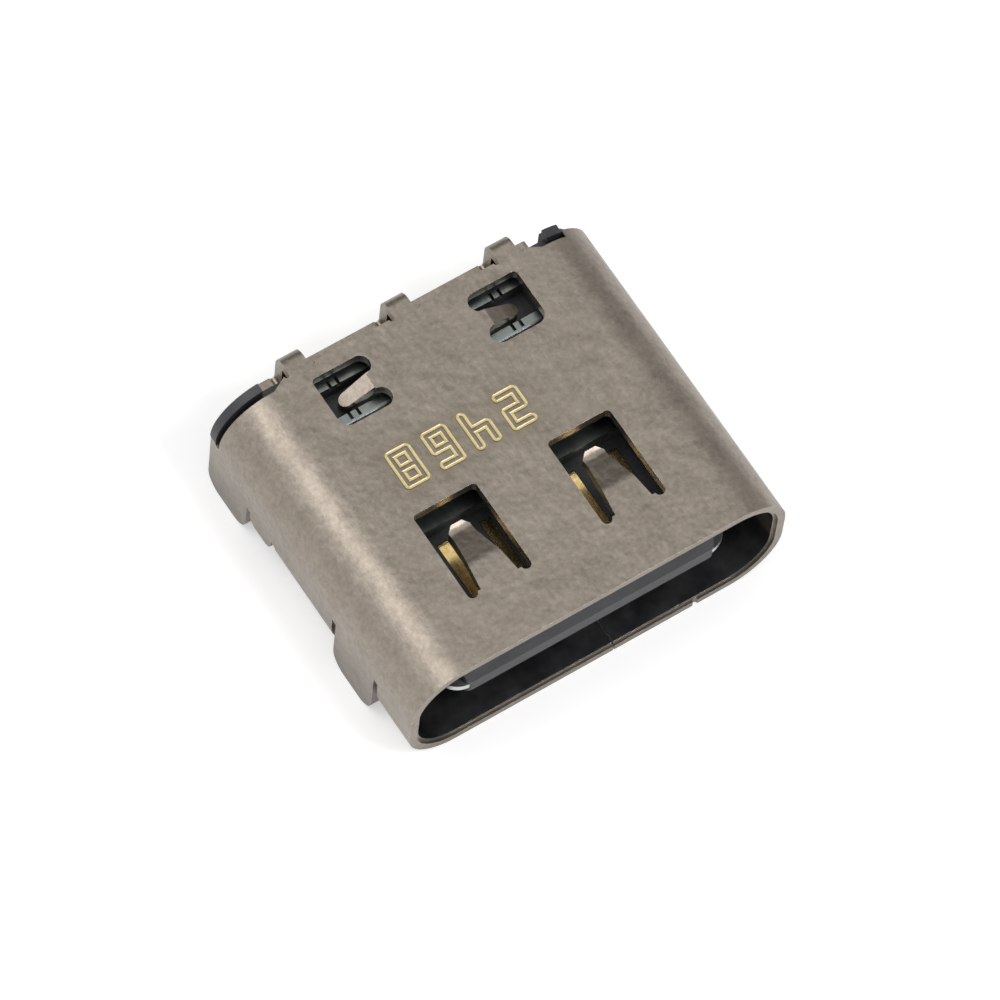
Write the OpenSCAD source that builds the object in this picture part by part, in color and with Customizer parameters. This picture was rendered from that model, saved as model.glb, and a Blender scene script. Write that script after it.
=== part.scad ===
// Board-mounted receptacle with a reversible oval plug opening.
// Frame: X across, Y from the mouth towards the rear, Z up.
// The origin is the centre of the plug opening, in the plane of the mouth.

/* [Plug opening] */
// Clear width of the opening
mouth_w = 8.34; // [8.2:0.02:8.7]
// Clear height of the opening
mouth_h = 2.56; // [2.46:0.02:2.8]
// Corner radius of the opening
mouth_r = 0.95; // [0.8:0.05:1.15]
// Width of the lead-in coined round the inside of the mouth
lead_in = 0.07; // [0.02:0.01:0.12]

/* [Shell sheet] */
// Thickness of the shell sheet
sheet_t = 0.25; // [0.18:0.01:0.3]
// Length of the top, from the mouth to its rear edge
shell_len = 7.3; // [7.2:0.02:7.8]
// How far the sides run on behind the top's rear edge
side_long = 0.12; // [0.04:0.01:0.16]
// How far short of the top's rear edge the upper corners are cut back
corner_short = 0.18; // [0.1:0.01:0.24]
// How far the cut back slants beside the outer straps
corner_slant = 0.34; // [0.1:0.02:0.4]
// Distance from the middle to the end of the right corner's cut
corner_right = 3.74; // [3.6:0.02:4]
// Height above the middle at which a cut-back corner ends
corner_low = 0.32; // [0.2:0.02:0.5]
// Inner radius of the bends in the sheet
bend_r = 0.03; // [0.02:0.01:0.08]

/* [Seam] */
// Distance of the seam from the middle of the underside
seam_x = 0.51; // [0.4:0.01:0.6]
// Width of the seam
seam_gap = 0.03; // [0.02:0.01:0.05]
// Distance from the housing's front wall forward to the middle of the dovetail
dovetail_lead = 1.4; // [1.1:0.05:1.7]
// Width of the dovetail at its root
dovetail_w = 0.7; // [0.5:0.05:0.9]
// How far the dovetail reaches across
dovetail_reach = 0.6; // [0.4:0.05:0.8]
// How much wider the dovetail is at its end, on each side
dovetail_flare = 0.14; // [0.05:0.01:0.2]
// Distance from the middle to the carrier-strip nick in the lower lip
nick_x = 2.44; // [2.2:0.02:2.7]
// Radius of the nick
nick_r = 0.06; // [0.04:0.01:0.08]

/* [Spring fingers] */
// Distance of each finger from the middle
spring_x = 1.58; // [1.5:0.01:1.7]
// Distance from the mouth to the fingers' roots
spring_y = 1.24; // [1:0.02:1.5]
// Width of a finger's window
window_w = 1.48; // [1.36:0.02:1.56]
// Length of a finger's window
window_len = 2.14; // [2:0.02:2.4]
// Corner radius of a finger's window
window_r = 0.1; // [0.05:0.01:0.11]
// Width of the slot beside a finger's root
slot_w = 0.23; // [0.22:0.01:0.3]
// Width of a finger where it starts to dip
finger_mid_w = 0.74; // [0.7:0.02:0.9]
// Width of a finger at its tip
finger_tip_w = 0.5; // [0.4:0.02:0.7]
// Flat length at a finger's root
finger_flat = 0.6; // [0.5:0.02:0.7]
// Length of the stretch that dips into the opening
finger_slope = 0.72; // [0.6:0.02:0.8]
// Length of the upturned tip
finger_tip = 0.34; // [0.2:0.02:0.4]
// Angle at which the finger dips
finger_dip = 17; // [10:1:20]
// Angle at which the tip turns up
finger_lift = 24; // [10:1:30]
// Inner radius of the bends in a finger
finger_r = 0.25; // [0.1:0.01:0.3]

/* [Lances] */
// Distance from the middle to the inner edge of a lance's window
lance_x = 1.18; // [1.1:0.02:1.3]
// Width of a lance's window
lance_window_w = 1.24; // [1.16:0.02:1.3]
// How far a lance's window starts in front of the housing's wall
lance_lead = 0.25; // [0.2:0.01:0.3]
// Radius of a lance window's outer front corner
lance_corner_r = 0.25; // [0.1:0.01:0.3]
// Length of a lance's window
lance_window_len = 1.26; // [1.2:0.02:1.32]
// Width of a lance at its root
lance_w = 0.37; // [0.3:0.01:0.44]
// Width of a lance at its tip
lance_tip_w = 0.3; // [0.24:0.01:0.36]
// Flat length at a lance's root
lance_flat = 0.1; // [0.02:0.02:0.2]
// Inner radius of the bend at a lance's root
lance_r = 0.15; // [0.05:0.01:0.2]
// Length of a lance
lance_len = 0.92; // [0.8:0.02:1]
// Angle at which a lance dips
lance_dip = 26; // [15:1:30]
// Gap between a lance and the edge of the ground plate's window
lance_gap = 0.03; // [0.02:0.01:0.06]

/* [Rear cover] */
// Width of the folded rear cover
cover_w = 6.52; // [6.3:0.02:6.7]
// Width of each strap that carries the cover
strap_w = 0.47; // [0.4:0.01:0.6]
// Distance between neighbouring straps
strap_pitch = 2.475; // [2.3:0.025:2.6]
// Flat length of a strap behind the top's rear edge
strap_run = 0.21; // [0.16:0.01:0.26]
// Radius of the nicks beside the straps
strap_nick = 0.06; // [0.04:0.01:0.08]
// How far below the top's inner face the cover's upper edge is
cover_drop = 0.62; // [0.4:0.02:0.8]
// Radius of the cover's lower corners
cover_r = 0.3; // [0.1:0.02:0.5]
// Height of the cover's lower edge above the board
cover_lift = 0.45; // [0.35:0.01:0.6]

/* [Legs] */
// Width of each solder leg
leg_w = 1.4; // [1.2:0.02:1.46]
// Distance from the mouth to the front legs
leg_y = 1.34; // [1.2:0.02:1.5]
// Radius of the corners of a leg's tip
leg_tip_r = 0.44; // [0.2:0.02:0.56]
// Width of the relief beside a leg
relief = 0.13; // [0.1:0.01:0.2]
// How much wider the front relief is at its foot
relief_flare = 0.14; // [0:0.01:0.2]
// Length of the skirt in front of each rear leg
skirt_len = 0.77; // [0.6:0.01:0.85]
// How far a skirt hangs below the middle of the opening
skirt_drop = 0.8; // [0.7:0.01:0.95]
// How far below the middle the reliefs beside a rear leg start
rear_relief_drop = 0.45; // [0.3:0.01:0.5]
// How far short of the housing's front wall the underside ends
floor_short = 0.07; // [0.03:0.01:0.2]

/* [Tongue] */
// Width of the tongue
tongue_w = 6.69; // [6.6:0.01:6.8]
// Thickness of the tongue
tongue_t = 0.7; // [0.64:0.01:0.76]
// Distance of the tongue's nose behind the mouth
tongue_y = 0.22; // [0.16:0.01:0.3]
// Height of the flat on the nose
nose_flat = 0.36; // [0.3:0.01:0.5]
// Length of the nose's chamfer
nose_len = 0.2; // [0.1:0.01:0.25]
// Width of the plastic at the nose, between the plate's bare corners
nose_w = 5.88; // [5.8:0.02:6]
// Radius of the nose's corners
nose_r = 0.15; // [0.1:0.01:0.2]
// Length of the plate's bare corners
bare_corner = 0.45; // [0.4:0.01:0.5]
// Radius of the tongue's front corners
tongue_r = 0.54; // [0.46:0.02:0.6]
// Distance from the mouth to the thick root of the tongue
root_y = 3.27; // [3.15:0.01:3.5]
// Thickness of the root
root_t = 1.2; // [1.14:0.01:1.26]
// Width of the root
root_w = 6.2; // [6.1:0.01:6.3]

/* [Contacts] */
// Distance between neighbouring contacts
pitch = 0.5; // [0.48:0.01:0.52]
// Width of a contact
contact_w = 0.24; // [0.18:0.01:0.28]
// Thickness of a contact
contact_t = 0.12; // [0.1:0.01:0.14]
// Distance from the mouth to the power contacts' tips
power_y = 0.75; // [0.7:0.01:0.85]
// Distance from the mouth to the signal contacts' tips
signal_y = 0.98; // [0.9:0.01:1.2]
// Distance from the mouth to where the contacts go under the plastic
bare_end = 2.98; // [2.9:0.01:3.1]
// How far a contact drops as it goes under the plastic
contact_drop = 0.07; // [0.05:0.01:0.09]
// Distance from the rear cover forward to the upper row's upright stretch
upper_leg_lead = 0.32; // [0.26:0.01:0.34]
// Distance from the housing's front wall back to the lower row's upright stretch
lower_leg_back = 0.4; // [0.35:0.01:0.45]
// Length of an upper contact's solder foot behind its upright stretch
upper_foot = 0.85; // [0.7:0.05:1.1]
// Length of a lower contact's solder foot
lower_foot = 0.45; // [0.3:0.05:0.5]
// Inner radius of the contacts' bends
contact_bend = 0.08; // [0.05:0.01:0.1]

/* [Mid plate] */
// Thickness of the mid plate
plate_t = 0.15; // [0.12:0.01:0.16]
// How far the plate stands out of each side of the tongue
plate_proud = 0.03; // [0.02:0.01:0.05]
// Distance of the plate's front edge behind the tongue's nose
plate_inset = 0.03; // [0.02:0.01:0.06]
// Distance from the rear cover forward to the rear edge of the plate
plate_lead = 0.62; // [0.56:0.01:0.8]
// Distance from the mouth to the latch notches
latch_y = 1.75; // [1.5:0.05:2]
// Length of a latch notch
latch_len = 0.9; // [0.7:0.05:1]
// Depth of a latch notch
latch_depth = 0.32; // [0.2:0.02:0.34]
// Width of the plate's solder legs
plate_leg_w = 0.4; // [0.3:0.02:0.5]
// Diameter of the holes that the plastic runs through
flow_d = 0.5; // [0.3:0.05:0.6]
// Distance between neighbouring holes
flow_pitch = 1.5; // [1:0.1:2]

/* [Ground plates] */
// Thickness of the ground plates
ground_t = 0.12; // [0.1:0.01:0.14]
// Depth of the upper ground plate's rear flange below the shell
ground_sunk = 0.2; // [0.16:0.01:0.24]
// How far the flanges start behind the housing's front wall
flange_back = 0.05; // [0:0.01:0.08]
// Distance from the rear cover forward to the rear edge of the upper flange
upper_flange_lead = 0.38; // [0.34:0.01:0.44]
// How far the lower flange runs behind the housing's front wall
lower_flange = 0.25; // [0.15:0.01:0.27]
// Width of the flanges
flange_w = 6.4; // [6:0.05:6.6]
// Distance from the front of the root to the side wings
wing_back = 0.5; // [0.2:0.05:0.8]
// Length of the side wings
wing_len = 1.2; // [0.8:0.05:1.4]
// Straight length of a wing below its bend
wing_drop = 0.18; // [0.1:0.01:0.2]
// Distance from the housing's front wall back to the window under each lance
ground_window_back = 0.2; // [0.18:0.01:0.22]
// Length of the window under each lance
ground_window_len = 0.66; // [0.6:0.02:0.7]
// Width of the narrow slits in the flange
slit_w = 0.07; // [0.05:0.01:0.09]
// Length of the narrow slits in the flange
slit_len = 0.16; // [0.1:0.01:0.18]
// Distances of the two slits from the middle
slit_x = [1.83, 2.02];

/* [Housing] */
// Gap between the housing and the shell
fit_gap = 0.02; // [0.01:0.01:0.04]
// Gap between the plastic and the metal in it
mould_gap = 0.01; // [0.005:0.005:0.015]
// Depth of the recess in the housing's back above the cover
rear_recess = 0.16; // [0.1:0.01:0.2]
// Thickness of the ears behind the cut corners
ear_t = 0.2; // [0.15:0.01:0.25]
// Gap between a cut corner and the ear behind it
ear_slot = 0.13; // [0.1:0.01:0.15]
// Distance between an ear and the rear cover
ear_gap = 0.1; // [0.05:0.01:0.15]
// Distance from the top's rear edge forward to the housing's front wall
wall_lead = 1.35; // [1.3:0.01:1.5]
// How far the pockets under the lances reach past their windows
pocket_side = 0.1; // [0.05:0.01:0.14]
// Depth of the pockets below the shell
pocket_depth = 0.58; // [0.5:0.01:0.62]
// Distance from the front of the root to the carrier blocks
carrier_back = 0.28; // [0.1:0.02:0.6]
// How far the carrier blocks reach beyond their outer contacts
carrier_side = 0.15; // [0.05:0.01:0.2]
// Thickness of plastic over a carrier block
carrier_cover = 0.1; // [0.08:0.01:0.14]

/* [Hidden] */
contact_count = 12;             // contacts in a row
power_places = [1, 4, 9, 12];   // places of the longer power contacts
function contact_name(row, place) = str("contact_", row, place < 10 ? "0" : "", place);
$fn = 64;

steel = [0.62, 0.59, 0.55];
bright_steel = [0.75, 0.75, 0.74];
black = [0.13, 0.13, 0.14];
gold = [0.83, 0.66, 0.3];
over = 0.5;                     // how far a cutter runs past what it cuts

shell_w = mouth_w + 2 * sheet_t;
shell_h = mouth_h + 2 * sheet_t;
shell_r = mouth_r + sheet_t;
board_z = -shell_h / 2;
roof_z = mouth_h / 2;
side_end = shell_len + side_long;
corner_end = shell_len - corner_short;
cover_y = shell_len + strap_run + bend_r;
wall_y = shell_len - wall_lead;
floor_len = wall_y - floor_short;
dovetail_y = wall_y - dovetail_lead;
rear_leg_y = side_end - leg_w;
skirt_y = rear_leg_y - relief - skirt_len;
lance_y = wall_y - lance_lead;
ground_window_y = wall_y + ground_window_back;
lance_mid_y = ground_window_y + lance_w / 2 + lance_gap;
lance_slot_r = (lance_window_len - lance_w) / 4;

body_end = cover_y - fit_gap;
ear_x = cover_w / 2 + ear_gap;
ear_y = corner_end + ear_slot;
tongue_z = tongue_t / 2;
root_z = root_t / 2;
carrier_w = (contact_count - 1) * pitch + contact_w + 2 * carrier_side;
carrier_z = plate_t / 2 + mould_gap;
plate_w = tongue_w + 2 * plate_proud;
plate_leg_x = plate_w / 2 - plate_leg_w;
plate_y = tongue_y + plate_inset;
plate_end = cover_y - plate_lead;
flange_z = roof_z - ground_sunk - ground_t;
jog_angle = 20;                 // slope of a contact as it goes under the plastic
riser_angle = 75;               // slope of a ground plate between the root and its flange
// Sloping length that moves a bent strip sideways by a given amount.
function slope_len(shift, angle, t, r) = (shift - (2 * r + t) * (1 - cos(angle))) / sin(angle);
// Length that such a double bend takes up.
function slope_run(shift, angle, t, r) =
    (2 * r + t) * sin(angle) + slope_len(shift, angle, t, r) * cos(angle);
flange_y = wall_y + flange_back;
riser_y = flange_y - slope_run(flange_z - root_z, riser_angle, ground_t, bend_r);
upper_flange_end = cover_y - upper_flange_lead;
lower_flange_end = wall_y + lower_flange;

// Solid with a rounded rectangular section in X and Z, from y0 to y1.
module tube_solid(w, h, r, y0, y1) {
    translate([0, y1, 0]) rotate([90, 0, 0])
        linear_extrude(y1 - y0) {
            square([w - 2 * r, h], center = true);
            square([w, h - 2 * r], center = true);
            for (sx = [-1, 1], sz = [-1, 1])
                translate([sx * (w / 2 - r), sz * (h / 2 - r)]) circle(r);
        }
}

// Box given by its lowest corner and its highest corner.
module box(low, high) {
    translate(low) cube(high - low);
}

// Flat outline in X and Y, extruded from z0 to z1.
module plan(z0, z1) {
    translate([0, 0, z0]) linear_extrude(z1 - z0) children();
}

// Outline in Y and Z, extruded across X from x0 to x1.
module side(x0, x1) {
    translate([x0, 0, 0]) rotate([90, 0, 90]) linear_extrude(x1 - x0) children();
}

// Rectangle with all four corners rounded, from its low corner to its high corner.
module round_rect(low, high, r) {
    size = high - low;
    translate([low[0] + r, low[1]]) square([size[0] - 2 * r, size[1]]);
    translate([low[0], low[1] + r]) square([size[0], size[1] - 2 * r]);
    for (x = [low[0] + r, high[0] - r], y = [low[1] + r, high[1] - r])
        translate([x, y]) circle(r);
}

// One copy on each side of the middle plane.
module both_sides() {
    children();
    mirror([1, 0, 0]) children();
}

// One copy above the middle and one below.
module above_and_below() {
    children();
    mirror([0, 0, 1]) children();
}

// Bent strip seen from its edge. It starts at the origin along +X, lies between y = 0 and y = t,
// and follows steps of [straight length, turn at its end], where a positive turn bends upwards.
module bent_strip(steps, t, r, i = 0) {
    run = steps[i][0];
    turn = steps[i][1];
    square([run, t]);
    if (i < len(steps) - 1)
        translate([run, turn > 0 ? t + r : -r]) {
            bend_sector(abs(turn), t, r, turn > 0);
            rotate(turn) translate([0, turn > 0 ? -t - r : r])
                bent_strip(steps, t, r, i + 1);
        }
}

// The ring sector of a bend about the origin, which is its centre.
module bend_sector(angle, t, r, up) {
    far = 2 * (r + t);
    side = up ? -1 : 1;
    intersection() {
        difference() {
            circle(r + t);
            circle(r);
        }
        polygon([[0, 0], [0, side * far], [far * tan(angle / 2), side * far],
                 [far * sin(angle), side * far * cos(angle)]]);
    }
}

// ---- Shell ----

// Window for one spring finger, on the side of +X.
module spring_window() {
    round_rect([spring_x - window_w / 2, spring_y + window_r],
               [spring_x + window_w / 2, spring_y + window_len], window_r);
    for (s = [-1, 1])
        translate([spring_x + s * (window_w - slot_w) / 2, spring_y]) {
            translate([-slot_w / 2, slot_w / 2]) square([slot_w, window_len / 2]);
            translate([0, slot_w / 2]) circle(slot_w / 2);
        }
}

// Plan of one spring finger, tapered towards a tip with cut corners.
module finger_plan() {
    root = window_w / 2 - slot_w;
    mid = finger_mid_w / 2;
    tip = finger_tip_w / 2;
    crest = finger_flat + finger_slope;
    long = crest + finger_tip;
    cut = tip / 2;
    translate([spring_x, spring_y])
        polygon([[-root, -over], [root, -over], [mid, finger_flat], [tip, crest], [tip, long - cut],
                 [tip - cut, long], [cut - tip, long], [-tip, long - cut], [-tip, crest],
                 [-mid, finger_flat]]);
}

// Spring finger: flat at its root, dipping to its contact line, turned up at its tip.
module spring_finger() {
    intersection() {
        translate([0, spring_y - over, roof_z])
            side(spring_x - window_w / 2, spring_x + window_w / 2)
                bent_strip([[over + finger_flat, -finger_dip], [finger_slope, finger_dip + finger_lift],
                            [finger_tip, 0]], sheet_t, finger_r);
        plan(0, shell_h) finger_plan();
    }
}

// Window round one lance, with round-ended slots on both sides of the lance's root.
module lance_window() {
    slot_end = lance_x + lance_slot_r;
    far = lance_x + lance_window_w;
    difference() {
        round_rect([slot_end - lance_slot_r / 2, lance_y], [far, lance_y + lance_window_len], window_r);
        translate([lance_x, lance_y]) square([lance_slot_r, lance_window_len]);
        translate([far - lance_corner_r, lance_y])
            difference() {
                translate([0, -over]) square([over + lance_corner_r, over + lance_corner_r]);
                translate([0, lance_corner_r]) circle(lance_corner_r);
            }
    }
    for (y = [lance_y + lance_slot_r, lance_y + lance_window_len - lance_slot_r])
        translate([slot_end, y]) circle(lance_slot_r);
}

// Lance: rooted at its window's inner edge and bent down into the housing.
module lance() {
    round_x = lance_len - lance_tip_w / 2;
    intersection() {
        translate([lance_x - over, 0, roof_z])
            mirror([0, 1, 0]) rotate([90, 0, 0])
                linear_extrude(lance_y + lance_window_len)
                    bent_strip([[over + lance_flat, -lance_dip], [lance_len, 0]], sheet_t, lance_r);
        plan(0, shell_h)
            translate([lance_x, lance_mid_y]) {
                polygon([[-over, -lance_w / 2], [lance_flat, -lance_w / 2], [round_x, -lance_tip_w / 2],
                         [round_x, lance_tip_w / 2], [lance_flat, lance_w / 2], [-over, lance_w / 2]]);
                translate([round_x, 0]) circle(lance_tip_w / 2);
            }
    }
}

// Cut in the upper corner on the side of +X, from the outer strap out to the given distance.
module corner_cut(far) {
    near = strap_pitch + strap_w / 2 + 2 * strap_nick;
    plan(corner_low, shell_h)
        polygon([[near, side_end + over], [near, shell_len], [near + corner_slant, corner_end],
                 [far, corner_end], [far, side_end + over]]);
}

// Everything cut out of the lower corner where the legs and the skirts are.
module corner_openings() {
    corner_x = shell_w / 2 - shell_r;
    side(corner_x, shell_w)
        polygon([[leg_y - relief, 0], [leg_y + leg_w + relief, 0],
                 [leg_y + leg_w + relief, board_z - over], [leg_y - relief - relief_flare, board_z - over]]);
    box([corner_x, skirt_y - relief, board_z - over], [shell_w, side_end + over, -rear_relief_drop]);
}

// Upright tab of sheet in the plane of the shell's side, with a rounded lower edge.
module side_tab(y0, y1, z_low, r) {
    translate([shell_w / 2 - sheet_t, 0, 0])
        side(0, sheet_t) {
            translate([y0 + r, z_low]) square([y1 - y0 - 2 * r, -z_low]);
            translate([y0, z_low + r]) square([y1 - y0, -z_low - r]);
            for (y = [y0 + r, y1 - r])
                translate([y, z_low + r]) circle(r);
        }
}

// Outline of the seam's dovetail, grown by a gap.
module dovetail(grow) {
    wide = dovetail_w / 2;
    translate([seam_x, dovetail_y])
        polygon([[0, -wide - grow], [0, wide + grow],
                 [-dovetail_reach - grow, wide + dovetail_flare + grow],
                 [-dovetail_reach - grow, -wide - dovetail_flare - grow]]);
}

// The seam in the underside: a straight slit that goes round the dovetail.
module seam() {
    plan(board_z - over, -roof_z + over) {
        difference() {
            translate([seam_x - seam_gap, -over]) square([seam_gap, floor_len + 2 * over]);
            translate([seam_x - seam_gap - over, dovetail_y - dovetail_w / 2])
                square([2 * over, dovetail_w]);
        }
        difference() {
            dovetail(seam_gap);
            dovetail(0);
        }
    }
}

// Strap: runs out of the top's rear edge and bends down into the cover.
module strap() {
    translate([0, shell_len - sheet_t, roof_z])
        side(-strap_w / 2, strap_w / 2)
            bent_strip([[sheet_t + strap_run, -90], [cover_drop, 0]], sheet_t, bend_r);
}

// The folded rear cover, notched beside the bends of the straps.
module cover() {
    difference() {
        translate([0, cover_y + sheet_t, 0]) rotate([90, 0, 0])
            linear_extrude(sheet_t) {
                round_rect([-cover_w / 2, board_z + cover_lift], [cover_w / 2, 0], cover_r);
                round_rect([-cover_w / 2, -cover_r], [cover_w / 2, roof_z - cover_drop], window_r);
            }
        for (x = [-strap_pitch, 0, strap_pitch], s = [-1, 1])
            translate([x + s * (strap_w / 2 + strap_nick), cover_y - over, roof_z - cover_drop])
                rotate([-90, 0, 0]) cylinder(h = 2 * over, r = strap_nick);
    }
}

module shell() {
    color(steel) {
        difference() {
            tube_solid(shell_w, shell_h, shell_r, 0, side_end);
            tube_solid(mouth_w, mouth_h, mouth_r, -over, side_end + over);
            // Lead-in step coined round the inside of the mouth.
            tube_solid(mouth_w + 2 * lead_in, mouth_h + 2 * lead_in, mouth_r + lead_in, -over, lead_in);
            above_and_below() both_sides() plan(0, shell_h) spring_window();
            both_sides() plan(0, shell_h) lance_window();
            both_sides() corner_openings();
            // The top ends a little short of the sides, and the floor well before them.
            box([-shell_w, shell_len, corner_low], [shell_w, side_end + over, shell_h]);
            box([-shell_w, floor_len, board_z - over], [shell_w, side_end + over, -shell_r]);
            // The upper corners are cut back so that the cover can fold down.
            corner_cut(corner_right);
            mirror([1, 0, 0]) corner_cut(shell_w);
            translate([-shell_w, corner_end + ear_slot / 2, corner_low])
                rotate([0, 90, 0]) cylinder(h = shell_w - mouth_w / 2 + sheet_t, r = ear_slot / 2);
            for (x = [-strap_pitch, 0, strap_pitch], s = [-1, 1])
                translate([x + s * (strap_w / 2 + strap_nick), shell_len, 0]) cylinder(h = shell_h, r = strap_nick);
            translate([nick_x, 0, board_z - over]) cylinder(h = sheet_t + 2 * over, r = nick_r);
            seam();
        }
        above_and_below() both_sides() spring_finger();
        both_sides() lance();
        both_sides() side_tab(leg_y, leg_y + leg_w, board_z, leg_tip_r);
        both_sides() side_tab(rear_leg_y, side_end, board_z, leg_tip_r);
        both_sides() side_tab(skirt_y, skirt_y + skirt_len, -skirt_drop, leg_tip_r / 2);
        for (x = [-strap_pitch, 0, strap_pitch])
            translate([x, 0, 0]) strap();
        cover();
    }
}

// ---- Tongue ----

// Plan of the tongue, or of the mid plate with its edges moved out by a margin.
module tongue_plan(y0, y1, margin) {
    half = tongue_w / 2 + margin;
    difference() {
        union() {
            translate([-half, y0 + tongue_r]) square([2 * half, y1 - y0 - tongue_r]);
            translate([-half + tongue_r, y0]) square([2 * (half - tongue_r), y1 - y0]);
            for (s = [-1, 1])
                translate([s * (half - tongue_r), y0 + tongue_r]) circle(tongue_r);
        }
        // Notches in the sides that the plug's latches snap into.
        for (s = [-1, 1])
            translate([s * half, 0])
                round_rect([-latch_depth, latch_y], [latch_depth, latch_y + latch_len], latch_depth / 3);
    }
}

// Corner that the nose's plastic leaves bare, on the side of +X.
module nose_corner() {
    round_x = nose_w / 2 - nose_r;
    difference() {
        translate([round_x, tongue_y - over]) square([tongue_w, over + bare_corner]);
        translate([0, tongue_y + nose_r]) square([nose_w / 2, bare_corner]);
        translate([round_x, tongue_y + nose_r]) circle(nose_r);
    }
}

// The plastic tongue with its chamfered nose.
module tongue() {
    nose_low = tongue_y + nose_len;
    intersection() {
        plan(-tongue_z, tongue_z)
            difference() {
                tongue_plan(tongue_y, wall_y, 0);
                for (s = [0, 1])
                    mirror([s, 0]) nose_corner();
            }
        side(-tongue_w, tongue_w)
            polygon([[tongue_y, -nose_flat / 2], [tongue_y, nose_flat / 2], [nose_low, tongue_z],
                     [wall_y, tongue_z], [wall_y, -tongue_z], [nose_low, -tongue_z]]);
    }
}

// Holes in the mid plate that the plastic runs through, or the plastic in them.
module flow_pins(d) {
    for (x = [-1, 0, 1] * flow_pitch, y = [power_y + flow_d, bare_end - flow_d])
        translate([x, y, -plate_t]) cylinder(h = 2 * plate_t, d = d);
}

// Outline of the mid plate with its holes, grown by a gap.
module mid_plate_blank(gap) {
    difference() {
        plan(-plate_t / 2 - gap, plate_t / 2 + gap)
            tongue_plan(plate_y - gap, plate_end + gap, plate_proud + gap);
        flow_pins(flow_d - 2 * gap);
    }
    // Solder legs, bent down at the rear corners and out along the board.
    both_sides()
        translate([0, plate_end - over - gap, -plate_t / 2 - gap])
            side(plate_leg_x - gap, plate_w / 2 + gap)
                bent_strip([[over - contact_bend + gap, -90],
                            [-board_z - 1.5 * plate_t - 2 * contact_bend, 90],
                            [plate_leg_w + gap, 0]], plate_t + 2 * gap, contact_bend - gap);
}

module mid_plate() {
    color(bright_steel) mid_plate_blank(0);
}

// ---- Contacts ----

// Bent strip of one contact, grown by a gap. The upper row turns down behind the lower row.
module contact_strip(row, place, gap) {
    upper = row == "a";
    x = (place - (contact_count + 1) / 2) * pitch;
    tip_y = len(search(place, power_places)) > 0 ? power_y : signal_y;
    jog = slope_len(contact_drop, jog_angle, contact_t, contact_bend);
    jog_end = bare_end + slope_run(contact_drop, jog_angle, contact_t, contact_bend);
    bare_z = upper ? tongue_z - contact_t : -tongue_z;
    run_z = upper ? bare_z - contact_drop : bare_z + contact_drop;
    turn = upper ? -jog_angle : jog_angle;
    leg_y = upper ? cover_y - upper_leg_lead : wall_y + lower_leg_back;
    foot = upper ? upper_foot : lower_foot;
    translate([x, tip_y - gap, bare_z - gap])
        side(-contact_w / 2 - gap, contact_w / 2 + gap)
            bent_strip([[bare_end - tip_y + gap, turn], [jog, -turn],
                        [leg_y - contact_bend - jog_end, -90],
                        [run_z - board_z - contact_t - 2 * contact_bend, 90], [foot + gap, 0]],
                       contact_t + 2 * gap, contact_bend - gap);
}

module contact(row, place) {
    color(gold) contact_strip(row, place, 0);
}

// One row of contacts, grown by a gap.
module contact_row(row, gap) {
    for (place = [1:contact_count])
        contact_strip(row, place, gap);
}

// ---- Carriers ----

// The block that the upper row is moulded into, grown by a gap.
module carrier_block(gap) {
    box([-carrier_w / 2 - gap, root_y + carrier_back - gap, carrier_z - gap],
        [carrier_w / 2 + gap, wall_y + gap, root_z - carrier_cover + gap]);
}

module upper_carrier() {
    color(black) difference() {
        carrier_block(0);
        contact_row("a", mould_gap);
    }
}

module lower_carrier() {
    color(black) difference() {
        mirror([0, 0, 1]) carrier_block(0);
        contact_row("b", mould_gap);
    }
}

// ---- Ground plates ----

// Plan of a ground plate: the pad on the root and the wider flange behind it.
module ground_plan(end, gap) {
    translate([-root_w / 2 - gap, root_y]) square([root_w + 2 * gap, wall_y - root_y]);
    translate([-flange_w / 2 - gap, wall_y - gap]) square([flange_w + 2 * gap, end - wall_y + 2 * gap]);
}

// Sheet of a ground plate above the root, grown by a gap.
module ground_sheet(end, gap) {
    rise = slope_len(flange_z - root_z, riser_angle, ground_t, bend_r);
    intersection() {
        translate([0, root_y, root_z - gap])
            side(-flange_w, flange_w)
                bent_strip([[riser_y - root_y, riser_angle], [rise, -riser_angle],
                            [end - flange_y + gap, 0]], ground_t + 2 * gap, bend_r - gap);
        plan(0, shell_h) ground_plan(end, gap);
    }
}

// Wings that fold over the sides of the root.
module ground_wings() {
    both_sides()
        translate([0, root_y + wing_back + wing_len, root_z])
            rotate([90, 0, 0]) linear_extrude(wing_len)
                bent_strip([[root_w / 2, -90], [wing_drop, 0]], ground_t, bend_r);
}

// Windows that the lances reach through, with the narrow slits before and behind them.
module ground_windows() {
    window_end = ground_window_y + ground_window_len;
    both_sides() plan(root_z, roof_z) {
        translate([lance_x - pocket_side, ground_window_y])
            square([lance_window_w + 2 * pocket_side, ground_window_len]);
        for (x = slit_x, y = [ground_window_y, window_end])
            translate([x - slit_w / 2, y - slit_len]) square([slit_w, 2 * slit_len]);
    }
}

module upper_ground_plate() {
    color(bright_steel) {
        difference() {
            ground_sheet(upper_flange_end, 0);
            ground_windows();
        }
        ground_wings();
    }
}

module lower_ground_plate() {
    color(bright_steel) mirror([0, 0, 1]) {
        ground_sheet(lower_flange_end, 0);
        ground_wings();
    }
}

// ---- Housing ----

// Corner ear: fills the shell's outline behind the cut-back corner.
module ear(far) {
    intersection() {
        tube_solid(shell_w, shell_h, shell_r, ear_y, ear_y + ear_t);
        box([ear_x, 0, corner_low + fit_gap], [far, body_end, shell_h]);
    }
}

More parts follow.
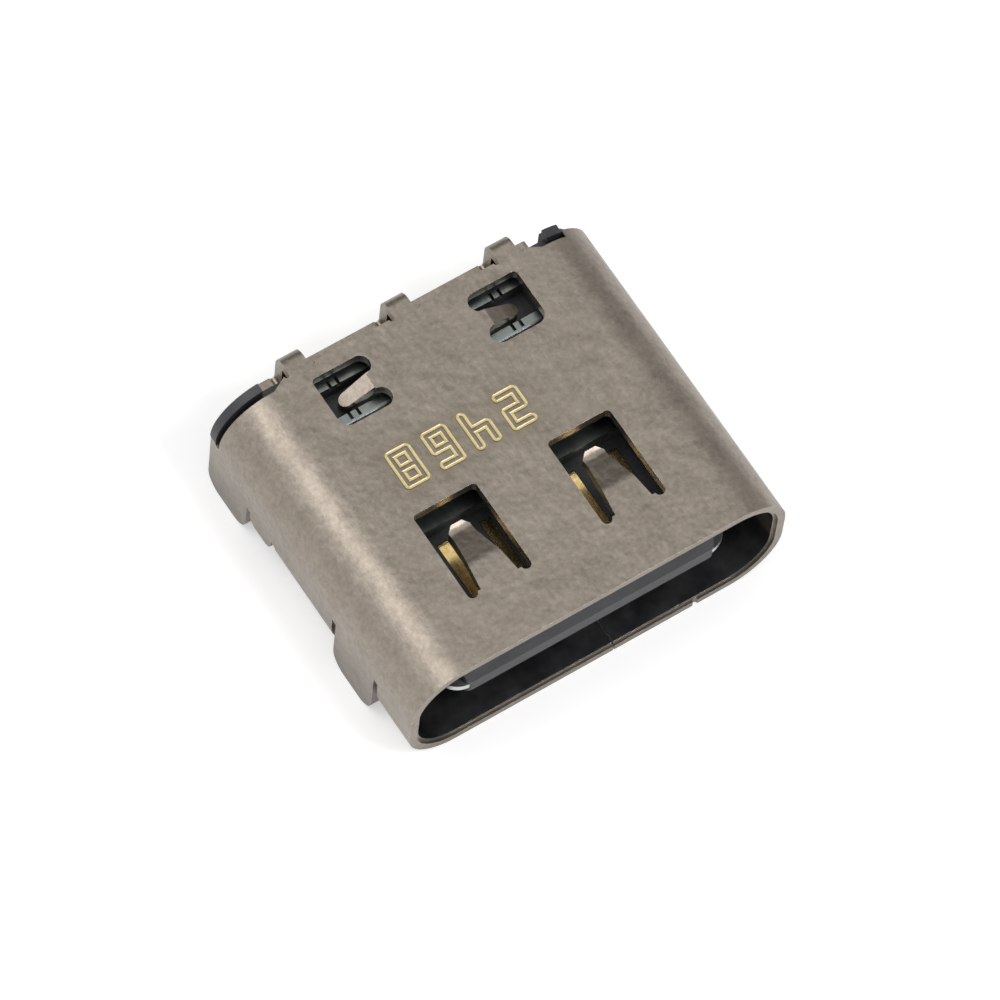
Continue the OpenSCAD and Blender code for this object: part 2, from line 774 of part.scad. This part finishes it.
// Pocket in the top of the body under one lance window.
module lance_pocket() {
    low_x = lance_x - pocket_side;
    high_x = lance_x + lance_window_w + pocket_side;
    box([low_x, wall_y - over, flange_z], [high_x, upper_flange_end, shell_h]);
    box([low_x, ground_window_y, roof_z - pocket_depth],
        [high_x, ground_window_y + ground_window_len, shell_h]);
}

module housing() {
    color(black) difference() {
        union() {
            tongue();
            box([-root_w / 2, root_y, -root_z], [root_w / 2, wall_y + over, root_z]);
            tube_solid(mouth_w - 2 * fit_gap, mouth_h - 2 * fit_gap, mouth_r - fit_gap, wall_y, body_end);
            ear(corner_right - fit_gap);
            mirror([1, 0, 0]) ear(shell_w);
        }
        mid_plate_blank(mould_gap);
        contact_row("a", mould_gap);
        contact_row("b", mould_gap);
        above_and_below() carrier_block(mould_gap);
        ground_sheet(upper_flange_end, mould_gap);
        mirror([0, 0, 1]) ground_sheet(lower_flange_end, mould_gap);
        both_sides() lance_pocket();
        box([-ear_x, body_end - rear_recess, roof_z - cover_drop], [ear_x, body_end + over, shell_h]);
    }
}

shell();
housing();
upper_carrier();
lower_carrier();
mid_plate();
upper_ground_plate();
lower_ground_plate();
for (row = ["a", "b"], place = [1:contact_count])
    contact(row, place);
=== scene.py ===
import bmesh
import bpy
from math import cos, radians, sin
from mathutils import Matrix, Vector


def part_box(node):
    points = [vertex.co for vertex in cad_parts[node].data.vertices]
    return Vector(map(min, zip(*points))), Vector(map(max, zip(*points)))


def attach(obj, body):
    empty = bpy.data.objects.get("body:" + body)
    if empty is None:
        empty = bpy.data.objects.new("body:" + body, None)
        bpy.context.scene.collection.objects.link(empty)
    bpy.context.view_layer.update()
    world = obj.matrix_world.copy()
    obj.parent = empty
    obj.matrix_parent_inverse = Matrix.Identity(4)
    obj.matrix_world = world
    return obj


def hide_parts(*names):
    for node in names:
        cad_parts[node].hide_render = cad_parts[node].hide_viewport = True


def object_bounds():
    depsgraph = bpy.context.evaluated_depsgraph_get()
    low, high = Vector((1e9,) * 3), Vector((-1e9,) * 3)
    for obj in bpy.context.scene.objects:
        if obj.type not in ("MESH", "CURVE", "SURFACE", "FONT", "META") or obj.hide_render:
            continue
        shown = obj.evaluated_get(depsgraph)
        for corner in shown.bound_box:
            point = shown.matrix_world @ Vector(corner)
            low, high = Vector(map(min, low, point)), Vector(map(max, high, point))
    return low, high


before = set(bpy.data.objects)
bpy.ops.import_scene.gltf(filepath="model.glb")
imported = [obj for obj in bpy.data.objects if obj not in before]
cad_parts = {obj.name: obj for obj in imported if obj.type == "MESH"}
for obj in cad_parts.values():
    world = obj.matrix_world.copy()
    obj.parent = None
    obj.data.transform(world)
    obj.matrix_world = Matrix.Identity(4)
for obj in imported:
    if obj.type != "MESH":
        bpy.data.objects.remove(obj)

cad_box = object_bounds()
MM = 0.001

# --- Shell ---------------------------------------------------------------------------------
# One stainless sheet, stamped, folded into a tube and plated with satin nickel. It carries its
# own spring fingers, lances, solder legs and rear cover. Its sheared edges catch the light, so
# the sheet is welded from its triangles and its edges are rounded a little.

SHEET = 0.25 * MM
INNER_RADIUS = 0.95 * MM
ROUNDING = 0.03 * MM
SHARP = radians(35)
# Slot 1 is the rounded sheared edges: bare metal whose brighter colour partly paints their highlight.
# Slot 2 is the inside of the tube, whose dark colour is painted shade.
SHEARED_AND_HIGHLIGHT, INNER_PAINTED_SHADE = 1, 2


class Wire:
    """A node's output. Python's own operators on it add Math nodes."""

    def __init__(self, finish, socket):
        self.finish = finish
        self.socket = socket

    def math(self, operation, *values):
        return self.finish.node("ShaderNodeMath", {"operation": operation}, dict(enumerate(values)))

    def __add__(self, other):
        return self.math("ADD", self, other)

    def __radd__(self, other):
        return self.math("ADD", other, self)

    def __sub__(self, other):
        return self.math("SUBTRACT", self, other)

    def __rsub__(self, other):
        return self.math("SUBTRACT", other, self)

    def __mul__(self, other):
        return self.math("MULTIPLY", self, other)

    def __rmul__(self, other):
        return self.math("MULTIPLY", other, self)


class Finish:
    """A node material, or the room's light, in the making."""

    def __init__(self, owner):
        self.owner = owner
        owner.use_nodes = True
        self.tree = owner.node_tree

    def node(self, kind, settings, sockets, output=0):
        node = self.tree.nodes.new(kind)
        for name, value in settings.items():
            if name == "stops":
                set_stops(node.color_ramp, value)
            else:
                setattr(node, name, value)
        for key, value in sockets.items():
            self.plug(node.inputs[key], value)
        return Wire(self, node.outputs[output])

    def plug(self, socket, value):
        if isinstance(value, Wire):
            self.tree.links.new(value.socket, socket)
        else:
            socket.default_value = value

    def vector(self, operation, *values, output=0):
        return self.node("ShaderNodeVectorMath", {"operation": operation}, dict(enumerate(values)), output)

    def place(self):
        """The surface point in millimetres."""
        point = self.node("ShaderNodeTexCoord", {}, {}, "Object")
        return self.node("ShaderNodeVectorMath", {"operation": "SCALE"}, {0: point, "Scale": 1 / MM})

    def noise(self, point, scale, detail=3.0, roughness=0.55):
        sockets = {"Vector": point, "Scale": scale, "Detail": detail, "Roughness": roughness}
        return self.node("ShaderNodeTexNoise", {}, sockets)

    def ramp(self, value, stops):
        return self.node("ShaderNodeValToRGB", {"stops": stops}, {0: value})

    def blend(self, share, first, second):
        return self.node("ShaderNodeMix", {"data_type": "RGBA"}, {0: share, 6: first, 7: second}, 2)

    def stretch(self, point, factors):
        return self.vector("MULTIPLY", point, factors)

    def bump(self, height, depth_mm, strength=1.0):
        sockets = {"Height": height, "Distance": depth_mm * MM, "Strength": strength}
        return self.node("ShaderNodeBump", {}, sockets)

    def shown(self):
        """1 where the camera sees the surroundings, also in metal and through glass, else 0."""
        camera, glossy, through = [self.node("ShaderNodeLightPath", {}, {}, kind) for kind in
                                   ("Is Camera Ray", "Is Glossy Ray", "Is Transmission Ray")]
        return self.node("ShaderNodeMath", {"operation": "ADD", "use_clamp": True},
                         {0: camera + glossy, 1: through})

    def dress(self, **sockets):
        """Plugs the shader's own sockets, named with _ for a space."""
        shader = self.tree.nodes["Principled BSDF"]
        for name, value in sockets.items():
            self.plug(shader.inputs[name.replace("_", " ")], value)
        return self.owner


def set_stops(ramp, stops):
    while len(ramp.elements) < len(stops):
        ramp.elements.new(0.5)
    for element, (position, colour) in zip(ramp.elements, stops):
        element.position = position
        element.color = colour if len(colour) == 4 else (*colour, 1.0)


def grey(value):
    return (value, value, value, 1.0)


def etched_numbers(finish, place):
    """The distance in millimetres from the strokes of four plain figures, read from the rear."""
    half_w, half_h, quarter_h = 0.19, 0.36, 0.18
    first_x, pitch, row_y, top_z = 0.72, 0.84, 4.36, 1.53
    across = {"top": (0, half_h), "middle": (0, 0), "bottom": (0, -half_h)}
    upright = {"left": (-half_w, 0, half_h), "right": (half_w, 0, half_h),
               "upper_left": (-half_w, quarter_h, quarter_h),
               "upper_right": (half_w, quarter_h, quarter_h),
               "lower_left": (-half_w, -quarter_h, quarter_h),
               "lower_right": (half_w, -quarter_h, quarter_h)}
    figures = [("top", "upper_right", "middle", "lower_left", "bottom"),
               ("upper_left", "middle", "right"),
               ("top", "left", "middle", "bottom", "lower_right"),
               ("top", "left", "middle", "bottom", "right")]
    nearest = None
    for index, strokes in enumerate(figures):
        middle = (first_x - pitch * index, row_y, top_z)
        local = finish.vector("SUBTRACT", middle, place)
        for stroke in strokes:
            if stroke in across:
                centre, half = (*across[stroke], 0), (half_w, 0, 0)
            else:
                centre, half = (*upright[stroke][:2], 0), (0, upright[stroke][2], 0)
            offset = finish.vector("SUBTRACT", local, centre)
            offset = finish.vector("SUBTRACT", finish.vector("ABSOLUTE", offset), half)
            offset = finish.vector("MAXIMUM", offset, (0, 0, 0))
            distance = finish.vector("LENGTH", offset, output="Value")
            nearest = distance if nearest is None else nearest.math("MINIMUM", nearest, distance)
    return nearest


def satin_nickel():
    """Satin nickel on drawn sheet: a fine grain, soft stains, faint rubbed lines, etched figures, and
    painted shade towards the bottom.
    """
    finish = Finish(bpy.data.materials.new("satin_nickel"))
    place = finish.place()
    cloud = finish.noise(place, 0.9, 4.0)
    stain = finish.noise(place, 2.6, 5.0, 0.65)
    grain = finish.noise(place, 9.0, 4.0, 0.75)
    dent = finish.noise(place, 2.2, 2.0, 0.5)
    rub = finish.noise(finish.stretch(place, (6.0, 0.7, 6.0)), 1.6, 3.0)
    height_mm = finish.node("ShaderNodeSeparateXYZ", {}, {0: place}, 2)
    warm = finish.ramp(cloud, [(0.35, (0.235, 0.202, 0.168)), (0.65, (0.285, 0.247, 0.207))])
    tone = finish.blend(finish.ramp(stain, [(0.40, grey(0.0)), (0.75, grey(0.55))]), warm,
                        (0.175, 0.150, 0.126, 1.0))
    tone = finish.blend(finish.ramp(grain, [(0.38, grey(0.0)), (0.68, grey(0.45))]), tone,
                        (0.40, 0.355, 0.30, 1.0))
    # Painted shade: the colour darkens towards the bottom, over the lower sides and the solder legs.
    tone = finish.blend(finish.ramp(0.5 + 0.3 * height_mm, [(0.10, grey(0.65)), (0.45, grey(0.0))]), tone,
                        (0.15, 0.132, 0.12, 1.0))
    stroke = etched_numbers(finish, place)
    scorch = finish.ramp(stroke + 0.5 * stain, [(0.25, grey(0.55)), (0.70, grey(0.0))])
    tone = finish.blend(scorch, tone, (0.19, 0.155, 0.115, 1.0))
    mark = finish.ramp(stroke.math("ABSOLUTE", stroke - 0.07), [(0.020, grey(1.0)), (0.040, grey(0.0))])
    tone = finish.blend(mark, tone, (0.60, 0.50, 0.25, 1.0))
    rough = 0.30 + 0.10 * stain + 0.08 * rub
    ground = finish.bump(dent, 0.028)
    fine = finish.node("ShaderNodeBump", {}, {"Height": 0.7 * grain + 0.3 * rub - 1.5 * mark,
                                              "Distance": 0.008 * MM, "Normal": ground})
    return finish.dress(Base_Color=tone, Metallic=1.0, Roughness=rough, Normal=fine)


def sheared_edge_and_painted_highlight():
    """The bare bright metal of a sheared edge, streaked across the sheet. Its colour, brighter than the
    plating, is partly a painted highlight for the light that the rounded edges catch.
    """
    finish = Finish(bpy.data.materials.new("sheared_edge_and_painted_highlight"))
    place = finish.place()
    streak = finish.noise(finish.stretch(place, (9.0, 9.0, 1.5)), 1.5, 2.0)
    tone = finish.ramp(streak, [(0.3, (0.50, 0.47, 0.43)), (0.7, (0.72, 0.69, 0.64))])
    return finish.dress(Base_Color=tone, Metallic=1.0, Roughness=0.22 + 0.12 * streak,
                        Normal=finish.bump(streak, 0.003))


def inner_nickel_painted_shade():
    """The inside of the tube, dull and dark: its dark colour is painted shade for the shade inside the
    tube, with soft stains.
    """
    finish = Finish(bpy.data.materials.new("inner_nickel_painted_shade"))
    place = finish.place()
    stain = finish.noise(place, 2.0, 4.0)
    tone = finish.ramp(stain, [(0.35, (0.060, 0.064, 0.070)), (0.70, (0.11, 0.11, 0.115))])
    return finish.dress(Base_Color=tone, Metallic=1.0, Roughness=0.34 + 0.15 * stain,
                        Normal=finish.bump(stain, 0.004))


def welded_copy(node, name, materials):
    """A CAD node's mesh as a piece of its own, with its triangles welded and its flats joined."""
    mesh = bpy.data.meshes.new(name)
    work = bmesh.new()
    work.from_mesh(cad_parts[node].data)
    bmesh.ops.remove_doubles(work, verts=work.verts, dist=0.0005 * MM)
    bmesh.ops.dissolve_limit(work, angle_limit=radians(0.4), verts=work.verts, edges=work.edges)
    work.to_mesh(mesh)
    work.free()
    if "custom_normal" in mesh.attributes:
        mesh.attributes.remove(mesh.attributes["custom_normal"])
    piece = bpy.data.objects.new(name, mesh)
    bpy.context.scene.collection.objects.link(piece)
    mesh.materials.clear()
    for material in materials:
        mesh.materials.append(material)
    for face in mesh.polygons:
        face.material_index = 0
    return piece


def apply_modifiers(piece):
    """Turns the piece into a plain mesh of what its modifiers show."""
    evaluated = piece.evaluated_get(bpy.context.evaluated_depsgraph_get())
    piece.data = bpy.data.meshes.new_from_object(evaluated)
    piece.modifiers.clear()


def round_edges(piece, width, edge_material):
    """Rounds the sharp edges a little and gives the rounding the sheared edge's finish, whose brighter
    colour partly paints their highlight.
    """
    bevel = piece.modifiers.new("rounded_edges", "BEVEL")
    bevel.limit_method = "ANGLE"
    bevel.angle_limit = SHARP
    bevel.width = width
    bevel.segments = 3
    bevel.use_clamp_overlap = True
    bevel.material = edge_material
    apply_modifiers(piece)


def steady_normals(piece):
    """Flats keep their own normal up to the rounded edges, and curved faces are shaded smooth."""
    mesh = piece.data
    sliver = (0.01 * MM) ** 2
    around = {}
    for face in mesh.polygons:
        for index in face.vertices:
            around.setdefault(index, []).append(face)
    normals = []
    for face in mesh.polygons:
        for index in face.vertices:
            largest = max(around[index], key=lambda other: other.area)
            lead = largest.normal if face.area < sliver else face.normal
            near = [other for other in around[index] if other.normal.dot(lead) > cos(SHARP)]
            total = sum((other.area ** 2 * other.normal for other in near), Vector((0.0, 0.0, 0.0)))
            normals.append((total * 1e20).normalized() if near else lead)
    mesh.shade_smooth()
    mesh.normals_split_custom_set(normals)


def paint_shade_inside(piece, material):
    """Gives the faces that line the tube the dark inner material, painted shade for the shade inside the
    tube.
    """
    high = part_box("shell")[1]
    half_width = high.x - SHEET - INNER_RADIUS
    half_height = high.z - SHEET - INNER_RADIUS
    for face in piece.data.polygons:
        x, z = face.center.x, face.center.z
        beyond = Vector((x - max(min(x, half_width), -half_width), 0.0,
                         z - max(min(z, half_height), -half_height)))
        on_inside = abs(beyond.length - INNER_RADIUS) < 0.1 * SHEET
        faces_in = face.normal.dot(beyond) < -0.7 * beyond.length
        if face.material_index == 0 and on_inside and faces_in:
            face.material_index = material


shell = welded_copy("shell", "folded_shell", [satin_nickel(), sheared_edge_and_painted_highlight(), inner_nickel_painted_shade()])
# The rounding gets the sheared edge's colour, partly a painted highlight.
round_edges(shell, ROUNDING, SHEARED_AND_HIGHLIGHT)
steady_normals(shell)
# The faces inside the tube get a dark colour as painted shade.
paint_shade_inside(shell, INNER_PAINTED_SHADE)
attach(shell, "root")
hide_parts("shell")

# --- Housing and carriers ------------------------------------------------------------------
# Black glass-filled polymer, moulded round the contacts and the mid plate. The carriers are the
# first shot, and the housing with the tongue's nose and the corner ears is the second.


def black_moulding(name, base, rough):
    """Black polymer with flow marks along the tongue and a fine moulded grain."""
    finish = Finish(bpy.data.materials.new(name))
    place = finish.place()
    flow = finish.noise(finish.stretch(place, (1.0, 3.0, 1.0)), 1.2, 3.0)
    grain = finish.noise(place, 22.0, 3.0, 0.7)
    dark = tuple(0.7 * channel for channel in base)
    light = tuple(1.5 * channel for channel in base)
    tone = finish.ramp(0.5 * flow + 0.5 * grain, [(0.35, dark), (0.65, light)])
    return finish.dress(Base_Color=tone, Roughness=rough + 0.15 * grain, Normal=finish.bump(grain, 0.006))


housing_black = black_moulding("black_polymer", (0.030, 0.031, 0.034), 0.38)
carrier_black = black_moulding("carrier_polymer", (0.02, 0.02, 0.022), 0.45)
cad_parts["housing"].material_slots[0].material = housing_black
for node in ("upper_carrier", "lower_carrier"):
    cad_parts[node].material_slots[0].material = carrier_black

# --- Mid plate and ground plates -----------------------------------------------------------
# Thin bright stainless sheet. The mid plate lies between the contact rows and stands out of the
# tongue's sides. The ground plates lie on the tongue's root and step up under the shell. Their
# copy of the sheet is darker: painted shade for the shade they lie in under the shell.


def bright_sheet(name, base):
    """Bright rolled sheet with lines along the rolling direction and faint spots."""
    finish = Finish(bpy.data.materials.new(name))
    place = finish.place()
    roll = finish.noise(finish.stretch(place, (8.0, 0.5, 8.0)), 1.5, 3.0)
    spot = finish.noise(place, 5.0, 4.0)
    low = tuple(0.82 * channel for channel in base)
    tone = finish.ramp(0.6 * roll + 0.4 * spot, [(0.35, low), (0.65, base)])
    return finish.dress(Base_Color=tone, Metallic=1.0, Roughness=0.26 + 0.16 * spot,
                        Normal=finish.bump(roll, 0.003))


plate_sheet = bright_sheet("mid_plate_sheet", (0.66, 0.70, 0.67))
# Painted shade: the ground plates get the same sheet in a darker colour.
ground_sheet_painted_shade = bright_sheet("ground_plate_sheet_painted_shade", (0.23, 0.26, 0.255))
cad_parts["mid_plate"].material_slots[0].material = plate_sheet
for node in ("upper_ground_plate", "lower_ground_plate"):
    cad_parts[node].material_slots[0].material = ground_sheet_painted_shade

# --- Contacts ------------------------------------------------------------------------------
# Copper alloy strips, plated with gold over nickel, in one row above the mid plate and one below.


def contact_gold():
    """Gold plating, worn along the strip and lighter in small spots."""
    finish = Finish(bpy.data.materials.new("contact_gold"))
    place = finish.place()
    wear = finish.noise(finish.stretch(place, (9.0, 0.8, 9.0)), 1.4, 3.0)
    spot = finish.noise(place, 9.0, 4.0)
    tone = finish.ramp(spot, [(0.35, (0.62, 0.45, 0.18)), (0.65, (0.80, 0.62, 0.30))])
    return finish.dress(Base_Color=tone, Metallic=1.0, Roughness=0.18 + 0.16 * wear,
                        Normal=finish.bump(wear, 0.002))


gold = contact_gold()
for name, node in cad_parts.items():
    if name.startswith("contact_"):
        node.material_slots[0].material = gold

# --- Studio --------------------------------------------------------------------------------
# A pale floor under the solder legs, a soft room, a soft box overhead to the left and one over
# the mouth, and the camera over the front left corner.

AIM = Vector((0.0, 3.7, 0.0)) * MM
AZIMUTH = radians(-39.73)
ELEVATION = radians(63.04)
ROLL = radians(7.78)
DISTANCE = 184.0 * MM
LENS = 332.4
SHIFT = (0.0028, -0.0152)
FLOOR_REACH = 3.0


def place_camera():
    """Sets the camera over the front left corner, a little rolled."""
    towards = Vector((sin(AZIMUTH) * cos(ELEVATION), -cos(AZIMUTH) * cos(ELEVATION), sin(ELEVATION)))
    level = Vector((cos(AZIMUTH), sin(AZIMUTH), 0.0))
    upward = towards.cross(level)
    right = cos(ROLL) * level + sin(ROLL) * upward
    up = cos(ROLL) * upward - sin(ROLL) * level
    camera = bpy.data.objects.new("camera", bpy.data.cameras.new("camera"))
    camera.matrix_world = Matrix.Translation(AIM + DISTANCE * towards) @ Matrix(
        (right, up, towards)).transposed().to_4x4()
    camera.data.lens = LENS
    camera.data.shift_x, camera.data.shift_y = SHIFT
    camera.data.clip_start = 0.005
    camera.data.clip_end = 50.0
    bpy.context.scene.collection.objects.link(camera)
    bpy.context.scene.camera = camera


def soft_box(name, direction, distance, size, power, colour):
    """A round lamp that faces the part from the given direction."""
    lamp = bpy.data.lights.new(name, "AREA")
    lamp.shape = "DISK"
    lamp.size = size
    lamp.energy = power
    lamp.color = colour
    box = bpy.data.objects.new(name, lamp)
    direction = Vector(direction).normalized()
    box.matrix_world = Matrix.Translation(AIM + distance * direction) @ direction.to_track_quat(
        "Z", "Y").to_matrix().to_4x4()
    bpy.context.scene.collection.objects.link(box)


def room():
    """Soft light from all round: brighter overhead on the left, dimmer on the right and behind."""
    finish = Finish(bpy.context.scene.world)
    direction = finish.node("ShaderNodeTexCoord", {}, {}, "Generated")

    def patch(towards, reach):
        facing = finish.vector("DOT_PRODUCT", direction, Vector(towards).normalized(), output="Value")
        return finish.ramp(facing, [(cos(radians(reach)), grey(0.0)), (1.0, grey(1.0))])

    level = (1.0 + 0.80 * patch((-0.35, 0.35, 0.87), 42) - 0.50 * patch((0.92, 0.35, 0.20), 45)
             - 0.90 * patch((0.29, 0.82, 0.50), 34))
    level = level * (0.60 + 0.40 * finish.shown())
    seen = finish.node("ShaderNodeLightPath", {}, {}, "Is Camera Ray")
    colour = finish.blend(seen, level, (1.0, 1.0, 1.0, 1.0))
    finish.plug(finish.tree.nodes["Background"].inputs["Color"], colour)


def floor():
    """A pale square under the part, which keeps its shadow and glows where it is seen."""
    mesh = bpy.data.meshes.new("floor")
    corners = [(-1, -1), (1, -1), (1, 1), (-1, 1)]
    mesh.from_pydata([(x * FLOOR_REACH, y * FLOOR_REACH, cad_box[0][2]) for x, y in corners],
                     [], [(0, 1, 2, 3)])
    plane = bpy.data.objects.new("floor", mesh)
    bpy.context.scene.collection.objects.link(plane)
    finish = Finish(bpy.data.materials.new("pale_floor"))
    glow = finish.blend(finish.shown(), grey(0.0), grey(0.42))
    mesh.materials.append(finish.dress(Base_Color=(0.84, 0.84, 0.84, 1.0), Roughness=0.9,
                                       Emission_Color=glow, Emission_Strength=1.0))


if bpy.context.scene.world is None:
    bpy.context.scene.world = bpy.data.worlds.new("room")
place_camera()
room()
floor()
soft_box("overhead_left", (-0.35, 0.35, 0.87), 0.5, 0.20, 0.25, (1.0, 0.99, 0.97))
soft_box("over_the_mouth", (0.29, -0.50, 0.82), 0.4, 0.14, 0.5, (1.0, 1.0, 1.0))
bpy.context.scene.view_settings.view_transform = "Standard"
